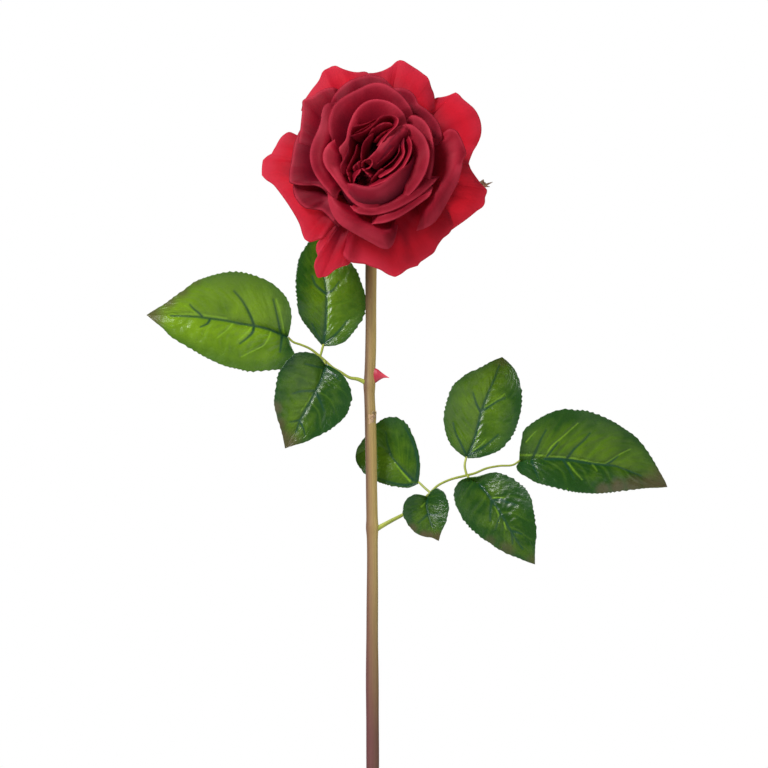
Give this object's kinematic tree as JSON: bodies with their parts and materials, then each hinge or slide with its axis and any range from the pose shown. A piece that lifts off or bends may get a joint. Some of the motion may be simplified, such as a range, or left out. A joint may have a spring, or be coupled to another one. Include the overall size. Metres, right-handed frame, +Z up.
{
  "type": "rose in a bud vase",
  "caption": "Long-stemmed red rose with two compound leaves, standing in water in a slim clear glass bud vase.",
  "frame": {"origin": "centre of the vase's flat foot, on the surface it stands on", "axes": "+Z up along the stem, -Y the way the bloom faces, +X to the right as the bloom is seen from the front"},
  "size_m": [0.251, 0.1038, 0.5462],
  "materials": {
    "vase_glass": "clear polished glass",
    "water": "clear water",
    "stem_bark": "satin olive brown, redder towards the foot",
    "thorn": "satin red",
    "leaf": "glossy dark green with darker veins",
    "calyx": "satin green",
    "petal": "soft matte crimson"
  },
  "bodies": {
    "root": {"vase": "vase_glass", "water": "water", "stem": "stem_bark", "thorn": "thorn", "spray_left": "leaf", "spray_right": "leaf", "calyx": "calyx", "bloom": "petal"}
  },
  "joints": []
}
